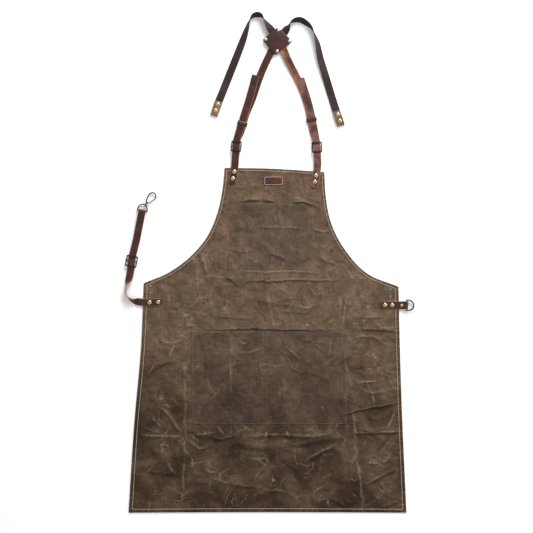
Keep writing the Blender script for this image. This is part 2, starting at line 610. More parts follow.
class Flat:
    """A mesh of points inside an outline, closer together beside its edge and along given lines."""

    def __init__(self, outline, step, margins, lines=(), holes=(), corner=20.0):
        self.outline = refined(outline, step, corner)
        loops = [self.outline]
        turns = 2 * math.pi * np.arange(20) / 20
        for x, y, radius in holes:
            loops.append(np.column_stack([x + radius * np.cos(turns), y + radius * np.sin(turns)]))
        rows = list(loops)
        for margin in margins:
            rows.append(moved_in(self.outline, margin))
        low, high = self.outline.min(0), self.outline.max(0)
        across = np.arange(low[0], high[0], step)
        up = np.arange(low[1], high[1], step * 0.866)
        grid = np.array([(x + (row % 2) * step / 2, y) for row, y in enumerate(up) for x in across])
        grid = grid[inside(grid, self.outline)]
        clear = (margins[-1] if margins else 0.0) + step * 0.6
        grid = grid[to_path(grid, self.outline, closed=True)[0] > clear]
        for line in lines:
            line = line[inside(line, self.outline)]
            if len(line) > 1:
                line = line[to_path(line, self.outline, closed=True)[0] > clear]
            if len(line) > 1:
                rows.append(line)
                reach = np.ptp(line, axis=0) / 2 + step
                near = (np.abs(grid - (line.min(0) + line.max(0)) / 2) < reach).all(1)
                crowded = near.nonzero()[0][to_path(grid[near], line)[0] < step * 0.5] if near.any() else []
                grid = np.delete(grid, crowded, axis=0)
        rows.append(grid)
        points = np.concatenate(rows)
        for x, y, radius in holes:
            far = np.hypot(points[:, 0] - x, points[:, 1] - y)
            points = points[(far > radius + 0.8) | (np.abs(far - radius) < 1e-6)]
        starts = np.cumsum([0] + [len(loop) for loop in loops])
        rings = [list(range(start, end)) for start, end in zip(starts, starts[1:])]
        verts, _, faces, _, _, _ = delaunay_2d_cdt([Vector(point) for point in points], [], rings, 1, 1e-4)
        self.points = np.array([tuple(vert) for vert in verts])
        middles = self.points[np.array(faces)].mean(1)
        hollow = np.zeros(len(middles), bool)
        for x, y, radius in holes:
            hollow |= np.hypot(middles[:, 0] - x, middles[:, 1] - y) < radius
        self.faces = [list(face) for face, empty in zip(faces, hollow) if not empty]
        self.distance, self.along, _ = to_path(self.points, self.outline, closed=True)
        self.distance[self.distance < 0.02] = 0.0

    def raised(self, name, top, under, paints, attributes=None, edge_paint_index=None, sharp=40):
        """The closed piece whose faces are `top` and `under` millimetres above the table."""
        count = len(self.points)
        verts = np.concatenate([np.column_stack([self.points, top]), np.column_stack([self.points, under])])
        faces = []
        for face in self.faces:
            corners = self.points[face]
            turn = np.cross(corners[1] - corners[0], corners[2] - corners[0])
            faces.append(face if turn > 0 else face[::-1])
        back = [[index + count for index in reversed(face)] for face in faces]
        rim = [[b, a, a + count, b + count] for a, b in open_edges(faces)]
        face_paint = None
        if edge_paint_index is not None:
            face_paint = [0] * (2 * len(faces)) + [edge_paint_index] * len(rim)
        both = {key: np.concatenate([values, values]) for key, values in (attributes or {}).items()}
        return make(name, verts, faces + back + rim, paints, face_paint, both, sharp=sharp)


def stations_of(route, width, thick):
    """Centre points and across directions; roll lifts the strap's left edge off its lowest height."""
    heading = np.gradient(route[:, :2], axis=0)
    heading /= np.linalg.norm(heading, axis=1)[:, None]
    angle = np.radians(route[:, 3])
    across = np.column_stack([-heading[:, 1] * np.cos(angle), heading[:, 0] * np.cos(angle), np.sin(angle)])
    height = route[:, 2] + width / 2 * np.abs(np.sin(angle)) + thick / 2 * np.abs(np.cos(angle))
    return np.column_stack([route[:, :2], height]), across


def fold_round(bar, along, radius, length, step=LEATHER_STEP):
    """Centres that carry a strap over a bar and back underneath it."""
    bar, along = np.array(bar), np.array(along)
    centres = []
    for turn in range(13):
        angle = math.radians(90 - 15 * turn)
        centres.append(bar + (along * math.cos(angle) + np.array([0, 0, math.sin(angle)])) * radius)
    under = bar - np.array([0, 0, radius])
    count = max(2, round(length / step))
    centres += [under - along * length * part / count for part in range(1, count + 1)]
    return np.array(centres)


def strap_section(width, thick, corner, crown=0.0, spans=8):
    """A strap's cross-section as (across, up, on the cut edge), anticlockwise seen from its end."""
    half, rise = width / 2 - corner, thick / 2
    flat = np.linspace(-half, half, spans + 1)
    bottom = [(a, -rise, False) for a in flat]
    top = [(a, rise + crown * (1 - (a / half) ** 2), False) for a in flat[::-1]]
    section = []
    for sign, row in ((1, bottom), (-1, top)):
        section += row
        section += [(sign * (half + corner * math.sin(t)), sign * (-rise + corner - corner * math.cos(t)),
                     True)
                    for t in np.radians([35, 65, 90])]
        section += [(sign * (half + corner * math.cos(t)), sign * (rise - corner + corner * math.sin(t)),
                     True)
                    for t in np.radians([0, 30, 60])]
    return section


def sleeve(rings, count, closed=False, start=0):
    """Faces between rings of `count` points, with a cap at each end unless the last ring meets the first."""
    faces = []
    for ring in range(rings if closed else rings - 1):
        low, high = start + ring * count, start + (ring + 1) % rings * count
        for turn in range(count):
            following = (turn + 1) % count
            faces.append([low + turn, low + following, high + following, high + turn])
    if not closed:
        faces.append(list(range(start, start + count))[::-1])
        faces.append(list(range(start + (rings - 1) * count, start + rings * count)))
    return faces


def ribbon(name, centres, across, section, paints, round_tip=0.0, dips=()):
    """Sweep a section along centres. A round tip is its radius; dips are places pressed in by rivets."""
    centres = np.asarray(centres)
    tangent = np.gradient(centres, axis=0)
    tangent /= np.linalg.norm(tangent, axis=1)[:, None]
    across = np.asarray(across) - tangent * (np.asarray(across) * tangent).sum(1)[:, None]
    across /= np.linalg.norm(across, axis=1)[:, None]
    normal = np.cross(tangent, across)
    travelled = np.concatenate([[0.0], np.cumsum(np.linalg.norm(np.diff(centres, axis=0), axis=1))])
    verts, uv = [], []
    for index, centre in enumerate(centres):
        share = 1.0
        if round_tip and travelled[index] < round_tip:
            share = math.sqrt(max(1 - (1 - travelled[index] / round_tip) ** 2, 0.006))
        for a, b, _ in section:
            place = centre + across[index] * a * share + normal[index] * b
            if b > 0:
                for x, y, radius, depth in dips:
                    near = math.hypot(place[0] - x, place[1] - y) / radius
                    place = place - normal[index] * depth * math.exp(-near ** 4)
            verts.append(place)
            uv.append((a * share, travelled[index]))
    face_paint = None
    if len(paints) > 1:
        kinds = [int(edge) for _, _, edge in section]
        face_paint = [max(pair) for pair in zip(kinds, kinds[1:] + kinds[:1])] * (len(centres) - 1) + [1, 1]
    return make(name, verts, sleeve(len(centres), len(section)), paints, face_paint, uv=uv, sharp=55)


def tube(name, points, radius, paint, up=(0, 0, 1), sides=20, closed=False, ends=3):
    """A round wire along points; radius may be a list. Its open ends are rounded off."""
    points = np.asarray(points, float)
    radii = np.full(len(points), radius) if np.isscalar(radius) else np.asarray(radius, float)
    if closed:
        tangent = np.roll(points, -1, axis=0) - np.roll(points, 1, axis=0)
    else:
        tangent = np.gradient(points, axis=0)
    tangent /= np.linalg.norm(tangent, axis=1)[:, None]
    if not closed:
        caps = np.radians(np.linspace(90, 0, ends + 1))[:-1]
        first = [points[0] - tangent[0] * radii[0] * math.sin(t) for t in caps]
        last = [points[-1] + tangent[-1] * radii[-1] * math.sin(t) for t in caps[::-1]]
        small = [radii[0] * max(math.cos(t), 0.02) for t in caps]
        large = [radii[-1] * max(math.cos(t), 0.02) for t in caps[::-1]]
        points = np.concatenate([first, points, last])
        radii = np.concatenate([small, radii, large])
        tangent = np.concatenate([[tangent[0]] * len(caps), tangent, [tangent[-1]] * len(caps)])
    side = np.cross(up, tangent)
    side /= np.linalg.norm(side, axis=1)[:, None]
    above = np.cross(tangent, side)
    angles = 2 * math.pi * np.arange(sides) / sides
    verts = [point + (s * math.cos(t) + u * math.sin(t)) * r
             for point, s, u, r in zip(points, side, above, radii) for t in angles]
    return make(name, verts, sleeve(len(points), sides, closed), [paint], sharp=50)


def lathe(name, profile, centre, paint, sides=40, closed=False, axis=None):
    """Turn (radius, height) points round an upright axis, or round another one that is given."""
    profile = [tuple(point) for point in profile]
    verts, rings = [], []
    for radius, height in profile:
        if radius == 0:
            rings.append([len(verts)])
            verts.append((0.0, 0.0, height))
            continue
        rings.append(list(range(len(verts), len(verts) + sides)))
        for turn in range(sides):
            angle = 2 * math.pi * turn / sides
            verts.append((radius * math.cos(angle), radius * math.sin(angle), height))
    pairs = list(zip(rings, rings[1:]))
    if closed:
        pairs.append((rings[-1], rings[0]))
    faces = []
    for first, second in pairs:
        for turn in range(sides):
            following = (turn + 1) % sides
            corners = [first[turn % len(first)], first[following % len(first)],
                       second[following % len(second)], second[turn % len(second)]]
            faces.append(list(dict.fromkeys(corners)))
    placing = Matrix.Translation(Vector(centre))
    if axis is not None:
        placing = placing @ Vector(axis).to_track_quat("Z", "Y").to_matrix().to_4x4()
    return make(name, [placing @ Vector(vert) for vert in verts], faces, [paint], sharp=35)


def joined(name, items):
    """Several pieces as one object."""
    whole = bmesh.new()
    paints = []
    for item in items:
        offset = len(paints)
        paints += list(item.data.materials)
        start = len(whole.faces)
        whole.from_mesh(item.data)
        whole.faces.ensure_lookup_table()
        for face in whole.faces[start:]:
            face.material_index += offset
        bpy.data.objects.remove(item, do_unlink=True)
    data = bpy.data.meshes.new(name)
    whole.to_mesh(data)
    whole.free()
    for paint in paints:
        data.materials.append(paint)
    made = bpy.data.objects.new(name, data)
    bpy.context.collection.objects.link(made)
    return made


def stitches(name, path, height, paint, closed=False, length=3.4, gap=0.8, radius=0.5, facing=1):
    """A sewn seam: one short rounded thread after another along a path, on the surface below it."""
    path = np.asarray(path, float)
    ends = np.concatenate([path, path[:1]]) if closed else path
    lengths = np.linalg.norm(np.diff(ends, axis=0), axis=1)
    travelled = np.concatenate([[0.0], np.cumsum(lengths)])
    count = max(1, int(travelled[-1] / (length + gap)))
    pitch = travelled[-1] / count
    starts = np.arange(count) * pitch + gap / 2
    rings = [(0.0, 0.25, -0.35), (0.08, 0.8, -0.1), (0.5, 1.0, 0.12), (0.92, 0.8, -0.1), (1.0, 0.25, -0.35)]
    sides = 6
    angles = 2 * math.pi * np.arange(sides) / sides
    first = np.column_stack([np.interp(starts, travelled, ends[:, axis]) for axis in (0, 1)])
    last = np.column_stack([np.interp(starts + pitch - gap, travelled, ends[:, axis]) for axis in (0, 1)])
    low, high = height(first), height(last)
    verts, faces = [], []
    for index in range(count):
        run = last[index] - first[index]
        run = run / max(np.linalg.norm(run), 1e-6)
        side = np.array([-run[1], run[0]])
        base = len(verts)
        for share, thick, drop in rings:
            plan = first[index] * (1 - share) + last[index] * share
            middle = low[index] * (1 - share) + high[index] * share + radius * drop * facing
            for angle in angles:
                place = plan + side * math.cos(angle) * radius * thick
                verts.append((place[0], place[1], middle + math.sin(angle) * radius * thick))
        faces += sleeve(len(rings), sides, start=base)
    return make(name, verts, faces, [paint], sharp=60)


def surface(item, facing=1):
    """A function that gives the height of a piece's top, or of its underside, at plan positions."""
    tree = BVHTree.FromPolygons([vert.co for vert in item.data.vertices],
                                [tuple(face.vertices) for face in item.data.polygons])

    def height(points):
        found = []
        for x, y in points:
            hit = tree.ray_cast(Vector(spot(x, y, 60.0 * facing)), Vector((0, 0, -facing)))[0]
            found.append(hit.z / MM if hit else (found[-1] if found else PANEL_TOP))
        return np.array(found)

    return height


# ---------------------------------------------------------------- cloth

# Folds: where they run, height, width to the right of travel and to the left, and how far the wax is rubbed
FOLDS = [
    # across the belly and under the chest pocket
    ([(-81, 152), (-20, 149), (60, 151), (130, 150), (206, 152)], 2.4, 4, 20, 0.55),
    ([(-110, 162), (-92, 152), (-66, 131)], 2.6, 4, 15, 0.4),
    ([(-86, 174), (0, 171), (96, 172), (150, 166)], 0.9, 4, 9, 0.5),
    ([(-137, 63), (-90, 58), (-36, 54)], 1.6, 5, 12, 0.35),
    ([(-60, 112), (10, 96), (92, 88)], 1.2, 9, 20, 0.2),
    ([(20, 78), (70, 71), (112, 72)], 1.1, 6, 16, 0.25),
    ([(-74, 350), (-50, 351), (-12, 351)], 3.2, 5, 13, 0.45),
    ([(-16, 351), (0, 350), (16, 350)], 2.6, 5, 11, 0.3),
    ([(52, 345), (70, 347), (92, 347), (116, 339), (136, 333)], 3.0, 5, 14, 0.45),
    ([(94, 362), (120, 352), (140, 346)], 2.0, 6, 16, 0.1),
    ([(112, 276), (140, 272), (154, 273)], 1.6, 4, 8, 0.6),
    ([(-39, 287), (10, 284), (62, 281), (99, 277)], 0.9, 6, 13, 0.5),
    ([(-20, 214), (12, 216), (44, 202), (66, 178)], 1.5, 5, 16, 0.35),
    ([(118, 206), (150, 199), (178, 190)], 1.2, 6, 12, 0.4),
    ([(-168, 162), (-120, 158), (-84, 156)], 0.8, 6, 12, 0.45),
    ([(-170, 228), (-158, 196), (-146, 160)], 0.8, 10, 7, 0.5),
    # the lap pocket's mouth and the cloth beside it
    ([(-176, 30), (-120, 27), (-60, 31), (20, 28), (110, 26), (196, 24)], 2.3, 4, 16, 0.4),
    ([(206, 31), (260, 27), (320, 25), (360, 22)], 2.6, 4, 14, 0.5),
    ([(206, 66), (250, 58), (296, 61)], 1.4, 6, 12, 0.4),
    ([(212, 5), (262, 10), (300, -14)], 1.6, 6, 13, 0.45),
    ([(196, 108), (192, 70), (188, 34)], 0.8, 6, 8, 0.55),
    ([(223, -106), (252, -103), (279, -101)], 1.2, 4, 8, 0.8),
    ([(234, -120), (262, -131), (300, -124)], 0.9, 5, 9, 0.5),
    ([(250, -108), (262, -140), (266, -160)], 0.6, 4, 6, 0.7),
    # left flank
    ([(-309, -101), (-290, -72), (-267, -58), (-225, -52)], 2.2, 6, 17, 0.15),
    ([(-252, -70), (-234, -74), (-214, -66)], 1.2, 4, 10, 0.1),
    ([(-312, -214), (-290, -226), (-262, -232)], 1.5, 5, 13, 0.2),
    ([(-276, -161), (-246, -186), (-232, -206), (-214, -232)], 1.2, 7, 10, 0.55),
    ([(-296, -186), (-276, -204), (-258, -226)], 1.2, 6, 10, 0.35),
    ([(-325, -237), (-270, -238), (-212, -240)], 1.0, 6, 11, 0.75),
    ([(-313, -329), (-285, -326), (-250, -331), (-228, -322)], 2.1, 6, 18, 0.15),
    ([(-252, -300), (-240, -322), (-226, -336)], 0.8, 5, 8, 0.5),
    # under the lap pocket
    ([(-206, -246), (-186, -258), (-170, -270), (-146, -262)], 1.4, 6, 11, 0.6),
    ([(-212, -262), (-204, -282), (-196, -290)], 0.8, 5, 8, 0.55),
    ([(-150, -240), (-118, -246), (-80, -236)], 2.6, 5, 14, 0.2),
    ([(-73, -240), (0, -236), (46, -235), (112, -238), (176, -231)], 2.0, 9, 20, 0.5),
    ([(0, -226), (-4, -236), (-1, -248)], 0.8, 4, 5, 0.9),
    ([(46, -226), (50, -236), (56, -242)], 0.8, 4, 5, 0.9),
    ([(40, -262), (90, -256), (150, -244), (212, -238)], 2.3, 10, 14, 0.1),
    ([(-96, -248), (-30, -262), (30, -268)], 1.5, 12, 16, 0.1),
    ([(84, -304), (130, -280), (177, -258)], 2.6, 8, 17, 0.5),
    ([(-110, -352), (-60, -362), (-8, -366)], 2.0, 9, 16, 0.15),
    ([(-20, -374), (20, -374), (60, -378)], 0.9, 5, 9, 0.4),
    ([(112, -386), (126, -372), (140, -364)], 0.9, 5, 7, 0.6),
    ([(138, -392), (170, -400), (212, -421)], 2.3, 6, 16, 0.15),
    # lower right
    ([(163, -190), (205, -180), (246, -170), (290, -163), (326, -155), (364, -149)], 3.3, 4, 13, 0.35),
    ([(196, -232), (250, -231), (300, -229), (326, -226), (364, -223)], 3.1, 5, 10, 0.85),
    ([(221, -218), (262, -226), (300, -214)], 2.0, 6, 9, 0.15),
    ([(322, -176), (306, -204), (296, -224)], 1.1, 6, 8, 0.6),
    ([(310, -244), (292, -268), (276, -290)], 1.9, 8, 10, 0.2),
    ([(206, -322), (214, -300), (224, -282)], 1.0, 5, 7, 0.5),
    ([(241, -360), (270, -346), (302, -328), (330, -316)], 2.7, 7, 15, 0.4),
    ([(282, -356), (290, -366), (296, -376)], 0.8, 5, 6, 0.5),
    ([(268, -424), (300, -410), (334, -398), (362, -392)], 1.8, 6, 13, 0.25),
]
# Lines worn into the wax by old folds, nearly flat
LINES = [
    ([(218, -184), (222, -280), (233, -350), (241, -416)], 0.62),
    ([(-207, -60), (-205, -200), (-207, -290)], 0.5), ([(-207, -290), (-211, -350), (-216, -406)], 0.4),
    ([(-142, 228), (-170, 191), (-177, 154), (-170, 104)], 0.5),
    ([(-128, 150), (-142, 117), (-147, 90)], 0.5), ([(181, 108), (186, 34)], 0.4),
    ([(1, 108), (15, 34)], 0.4), ([(-91, -18), (-92, -80), (-91, -130)], 0.5),
    ([(150, 176), (186, 190), (214, 158), (236, 128)], 0.45), ([(196, 198), (190, 160), (222, 130)], 0.35),
    ([(-194, 120), (-192, 60), (-200, 20)], 0.3), ([(12, 330), (14, 240), (10, 180)], 0.2),
    ([(186, 12), (196, -60), (210, -110)], 0.45),
    ([(-160, 84), (-170, 100), (-150, 110), (-140, 88), (-160, 84)], 0.3),
    ([(-24, -300), (-10, -292), (4, -304)], 0.4), ([(-66, -288), (-40, -294), (-4, -312)], 0.35),
    ([(-248, 74), (-196, 72), (-150, 66)], 0.25), ([(60, 230), (96, 222), (128, 246)], 0.25),
    ([(-104, 300), (-98, 250), (-102, 190)], 0.3), ([(112, 330), (116, 270), (120, 214)], 0.25),
    ([(30, 60), (52, 44), (86, 40)], 0.3),
]


def wandering(path, step=3.0, amount=1.6):
    """A smooth path through points, with small bends like a fold's."""
    route = smooth_route([(x, y, 0.0) for x, y in path], step)[:, :2]
    bends = [[noise.noise(Vector((x * 0.06, y * 0.06, seed)))
              + 0.5 * noise.noise(Vector((x * 0.17, y * 0.17, seed)))
              for seed in (3.5, 9.5)] for x, y in route]
    return route + np.array(bends) * amount * 1.4


def scattered_folds(count, seed):
    """Small folds and rubs all over the cloth, each in its own direction."""
    dice = random.Random(seed)
    found = []
    for _ in range(count):
        x, y = dice.uniform(-310, 310), dice.uniform(-410, 400)
        turn = math.radians(dice.gauss(0, 42))
        half = dice.uniform(9, 36)
        bend = dice.uniform(-0.3, 0.3) * half
        run = np.array([math.cos(turn), math.sin(turn)]) * half
        path = [(x - run[0], y - run[1]), (x - run[1] * bend / half, y + run[0] * bend / half),
                (x + run[0], y + run[1])]
        found.append((path, dice.uniform(0.35, 1.15), dice.uniform(3.5, 7), dice.uniform(7, 17),
                      dice.choice([0.0, 0.1, 0.25, 0.5])))
    return found


ALL_FOLDS = [(wandering(path), *rest) for path, *rest in FOLDS + scattered_folds(120, 11)]
WORN_LINES = [(wandering(path, amount=3.0), rub) for path, rub in LINES]

FOLD_HEIGHT = 1.35

# Places that hold the cloth flat: a line, how far round it is flat and where that ends
HELD_FLAT = [
    ([(-89.5, 384), (-82, 432)], 12, 34), ([(116, 375), (124, 424)], 12, 34),
    ([(-12, 398), (42, 398)], 16, 38), ([(-262, 95.5), (-320, 95)], 13, 36), ([(278, 88), (340, 87)], 13, 36),
    ([(-291, 119), (-291, 139)], 12, 34), ([(307, 130), (308, 110)], 12, 34),
]


def cloudy(points, size, seed):
    return np.array([noise.noise(Vector((x / size, y / size, seed))) for x, y in points])


def cloth_relief(points, edge_distance):
    """At each point: the laid cloth's height above flat, how far its wax is rubbed, and how dark it is."""
    lift = np.zeros(len(points))
    rubbed = np.zeros(len(points))
    hollow = np.zeros(len(points))
    for path, high, steep, gentle, rub in ALL_FOLDS:
        reach = 2.6 * max(steep, gentle)
        near = ((points > path.min(0) - reach) & (points < path.max(0) + reach)).all(1)
        if not near.any():
            continue
        distance, along, side = to_path(points[near], path)
        length = np.linalg.norm(np.diff(path, axis=0), axis=1).sum()
        taper = smoothstep(along, -1, 0.3 * length) * smoothstep(length - along, -1, 0.3 * length)
        width = np.where(side > 0, gentle, steep)
        lift[near] += FOLD_HEIGHT * high * taper * np.exp(-(distance / width) ** 1.6)
        dip = taper * np.exp(-((distance - 0.9 * steep) / (0.5 * steep)) ** 2) * (side <= 0)
        lift[near] -= 0.3 * high * dip
        hollow[near] = np.maximum(hollow[near], np.minimum(0.26 * high, 0.8) * dip)
        rubbed[near] = np.maximum(rubbed[near], rub * taper * np.exp(-(distance / 1.3) ** 2))
    for path, rub in WORN_LINES:
        near = ((points > path.min(0) - 9) & (points < path.max(0) + 9)).all(1)
        if near.any():
            distance, _, _ = to_path(points[near], path)
            broken = 0.35 + 0.65 * smoothstep(cloudy(points[near], 26, 41.0), -0.35, 0.3)
            rubbed[near] = np.maximum(rubbed[near], 0.85 * rub * broken * np.exp(-(distance / 1.5) ** 2))
            lift[near] += 0.3 * rub * np.exp(-(distance / 3.0) ** 2)
    rolling = 2.6 * cloudy(points, 105, 2.5) + 1.6 * cloudy(points, 48, 7.5) + 0.7 * cloudy(points, 21, 12.5)
    rolling += 0.22 * cloudy(points, 9, 17.5)
    held = smoothstep(edge_distance, 9, 42)
    lift = lift * smoothstep(edge_distance, 9, 19) + rolling * held + 0.4 * held
    for path, clear, ends in HELD_FLAT:
        held_flat = smoothstep(to_path(points, np.array(path, float))[0], clear, ends)
        lift *= held_flat
        rubbed *= 0.35 + 0.65 * held_flat
        hollow *= held_flat
    return np.logaddexp(0, (lift + 0.8) * 2.2) / 2.2 - 0.8, rubbed, hollow


panel_edge = outline_of("body_panel")
EYELET_CUT = 3.45              # radius of the hole cut in the cloth
EYELETS = {"left_upper": (-291, 137.5), "left_lower": (-291, 120.5), "right_upper": (307, 128.5),
           "right_lower": (308, 111)}
HEM_ROWS = (0.6, 1.5, 3.0, 4.4, BIB_SEAM, 6.8, SIDE_SEAM, 9.5, HEM_WIDTH - 0.25, HEM_WIDTH + 0.25, 13.5, 17.0)
PUCKER = 13.0                  # between the puckers that the hem's stitching pulls in
BACK_SEAM_LOWEST = 0.45        # keeps the thread on the back above the table
fold_rows = [path[::2] for path, *_ in ALL_FOLDS]
for fold_path, _, fold_steep, _, _ in ALL_FOLDS[:len(FOLDS)]:
    run = np.gradient(fold_path, axis=0)
    normal = np.column_stack([-run[:, 1], run[:, 0]]) / np.linalg.norm(run, axis=1)[:, None]
    fold_rows += [(fold_path + normal * 1.3)[::2], (fold_path - normal * fold_steep * 0.7)[::2]]
fold_rows += [path[::2] for path, _ in WORN_LINES]


def seam_inset(y):
    """How far the hem's seam runs inside the edge: closer round the bib than at the sides."""
    return SIDE_SEAM + (BIB_SEAM - SIDE_SEAM) * smoothstep(y, 118, 165)


def build_panel():
    """The body panel: a laid cloth with a turned and stitched hem."""
    holes = [(*place, EYELET_CUT) for place in EYELETS.values()]
    flat = Flat(panel_edge, MESH_STEP, HEM_ROWS, fold_rows, holes)
    points, far = flat.points, flat.distance
    relief, rubbed, hollow = cloth_relief(points, far)
    level = np.zeros(len(far))
    pucker_phase = flat.along / PUCKER + 0.35 * cloudy(np.column_stack([flat.along * 0.05, level]), 1.0, 4.0)
    uneven = cloudy(np.column_stack([flat.along * 0.02, level]), 1.0, 8.0)
    strength = 0.5 + 0.5 * np.clip(1.6 * uneven, -1, 1)
    pinched = (0.5 + 0.5 * np.cos(2 * math.pi * pucker_phase)) ** 3
    outer = smoothstep(far, 0.8, 3.0) * (1 - smoothstep(far, 8.6, 9.4))
    band = 1 - smoothstep(far, HEM_WIDTH - 0.3, HEM_WIDTH + 1.6)
    top = PANEL_TOP + relief * (1 - band) + 0.18 * band + 0.25 * outer * (1 - pinched * strength)
    from_seam = far - seam_inset(points[:, 1])
    top -= 0.32 * np.exp(-(from_seam / 0.8) ** 2)
    top -= 0.6 * (1 - smoothstep(far, 0.0, 1.3)) ** 1.5
    folded = far < HEM_WIDTH
    under = np.where(folded, 0.85 * (1 - smoothstep(far, 0.0, 1.5)) ** 1.5, np.maximum(top - CLOTH, 0.02))
    under += 0.55 * np.exp(-(from_seam / 0.9) ** 2) * folded
    under = np.minimum(under, top - 0.35)
    spots = np.exp(-((far - 3.6) / 2.6) ** 2) * pinched * (0.7 + 0.3 * strength)
    shade = 0.04 * band + spots * (0.5 + 0.5 * smoothstep(points[:, 0], -60, 120))
    shade = np.maximum(shade, 0.35 * np.exp(-((far - HEM_WIDTH - 0.6) / 0.8) ** 2))
    shade = np.maximum(shade, hollow)
    shade = np.maximum(shade, 0.15 * np.exp(-(far / 1.2) ** 2))
    return flat.raised("panel", top, under, [CANVAS], {"wear": rubbed, "shade": np.clip(shade, 0, 1)})


panel = settle(build_panel(), "apron", "waxed_canvas", "body_panel")
panel_top, panel_under = surface(panel), surface(panel, -1)
hem_edge = refined(panel_edge, 3.0)
hem_path = moved_in(hem_edge, seam_inset(hem_edge[:, 1]))
hem_seam = settle(stitches("hem_seam", hem_path, panel_top, THREAD, closed=True, radius=0.62), "apron", None)
hem_seam_back = settle(stitches("hem_seam_back", hem_path,
                                lambda points: np.maximum(panel_under(points), BACK_SEAM_LOWEST), THREAD,
                                closed=True, radius=0.34, facing=-1), "apron", None)


def build_pocket(name, corners, mouth, seams, mouth_gap, bulge, creases=()):
    """A patch pocket sewn down round three sides, standing a little open at its mouth."""
    outline = rounded(np.array(corners, float), 3.0, 4)
    flat = Flat(outline, POCKET_STEP, (0.5, 1.3, 2.5, 4.0, 6.0, 8.0, 9.5, 12.0, 15.0), fold_rows, corner=1.0)
    points = flat.points
    edge_far, _, _ = to_path(points, panel_edge, closed=True)
    relief, rubbed, hollow = cloth_relief(points, edge_far)
    mouth_far, _, _ = to_path(points, np.array(mouth, float))
    sewn_far = np.full(len(points), np.inf)
    for path in seams:
        sewn_far = np.minimum(sewn_far, to_path(points, np.array(path, float))[0])
    slack = smoothstep(sewn_far, 9, 48)
    loose = cloudy(points, 30, 21.5)
    lift = slack * (mouth_gap * np.exp(-(mouth_far / 26) ** 2) * (1 + 0.7 * loose)
                    + bulge * (0.7 + 0.6 * cloudy(points, 55, 31.5)))
    for path, high, width in creases:
        distance, _, _ = to_path(points, wandering(path))
        lift += high * slack * np.exp(-(distance / width) ** 2)
        rubbed = np.maximum(rubbed, 0.3 * np.exp(-(distance / 1.6) ** 2))
    under = POCKET_SEAT + relief + np.maximum(lift, 0)
    rim = (1 - smoothstep(flat.distance, 0.0, 1.4)) ** 1.5
    mouth_band = 1 - smoothstep(mouth_far, 12.6, 13.4)
    top = under + POCKET_CLOTH + 0.5 * mouth_band - 0.45 * rim
    for inset in POCKET_SEAMS:
        top -= 0.22 * np.exp(-((sewn_far - inset) / 0.8) ** 2)
    top += 0.18 * np.exp(-((sewn_far - 5.2) / 1.8) ** 2)
    top -= 0.25 * np.exp(-((mouth_far - 13.0) / 0.8) ** 2)
    ribs = 0.10 * cloudy(np.column_stack([points[:, 0] * 9, points[:, 1]]), 40, 5.0)
    shade = 0.2 * rim
    for inset, depth in zip(POCKET_SEAMS, (0.25, 0.2)):
        shade += depth * np.exp(-((sewn_far - inset) / 0.9) ** 2)
    rubbed = np.maximum(rubbed, 0.32 * np.exp(-((flat.distance - 1.4) / 0.9) ** 2))
    shade = np.maximum(shade, hollow)
    tones = {"wear": rubbed * 0.8, "shade": np.clip(shade, 0, 1)}
    return flat.raised(name, top + ribs, under, [POCKETS], tones)


CHEST = [(-77, 342.5), (-86, 209), (-60, 177), (82, 177), (106, 205), (103, 341)]
LAP = [(-189, 22.5), (-188, -210), (198, -210), (198, 22.5)]
DIVIDER = [(2.5, 22.5), (2.5, -210)]
chest = settle(build_pocket("chest_pocket_cloth", CHEST, [CHEST[0], CHEST[-1]], [CHEST], 3.4, 0.7,
                            [([(31, 342), (30, 320), (32, 292)], 1.6, 5)]),
               "apron", "pocket_canvas", "chest_pocket")
lap = settle(build_pocket("lap_pocket_cloth", LAP, [LAP[0], LAP[-1]], [LAP, DIVIDER], 3.2, 1.0,
                          [([(-91, 10), (-92, -60), (-91, -130)], 0.7, 6)]),
             "apron", "pocket_canvas", "lap_pocket")


POCKET_THREAD = {"paint": BROWN_THREAD, "length": 2.6, "gap": 0.7, "radius": 0.42}


def seam_rows(name, outline, piece):
    """Rows of brown stitching that follow a pocket's three sewn sides."""
    items = []
    height = surface(piece)
    for inset in POCKET_SEAMS:
        path = moved_in(refined(rounded(np.array(outline, float), 3.0, 4), 3.0, 1.0), inset)
        away, _, _ = to_path(path, np.array([outline[0], outline[-1]], float))
        first = int(np.argmin(path[:, 0] - path[:, 1]))
        path = np.roll(path, -first, axis=0)
        away = np.roll(away, -first)
        items.append(stitches(f"{name}_{inset}", path[away > 1.5], height, **POCKET_THREAD))
    return items


def build_pocket_seams():
    lap_top, chest_top = surface(lap), surface(chest)
    items = seam_rows("chest_seam", CHEST, chest) + seam_rows("lap_seam", LAP, lap)
    for x in (-3.8, 8.8):
        items.append(stitches(f"divider_{x}", [(x, 20), (x + 0.5, -100), (x, -204)], lap_top,
                              **POCKET_THREAD))
    items.append(stitches("chest_mouth_seam", [(-74, 329.5), (100, 328)], chest_top, **POCKET_THREAD))
    items.append(stitches("lap_mouth_seam", [(-186, 9.5), (195, 9.5)], lap_top, **POCKET_THREAD))
    return items


settle(joined("pocket_seams", build_pocket_seams()), "apron", None)


LABEL = np.array([(-9, 386.5), (39, 386.5), (39, 409.5), (-9, 409.5)])
LABEL_CORNER = 2.5
LABEL_SEAM = 2.3


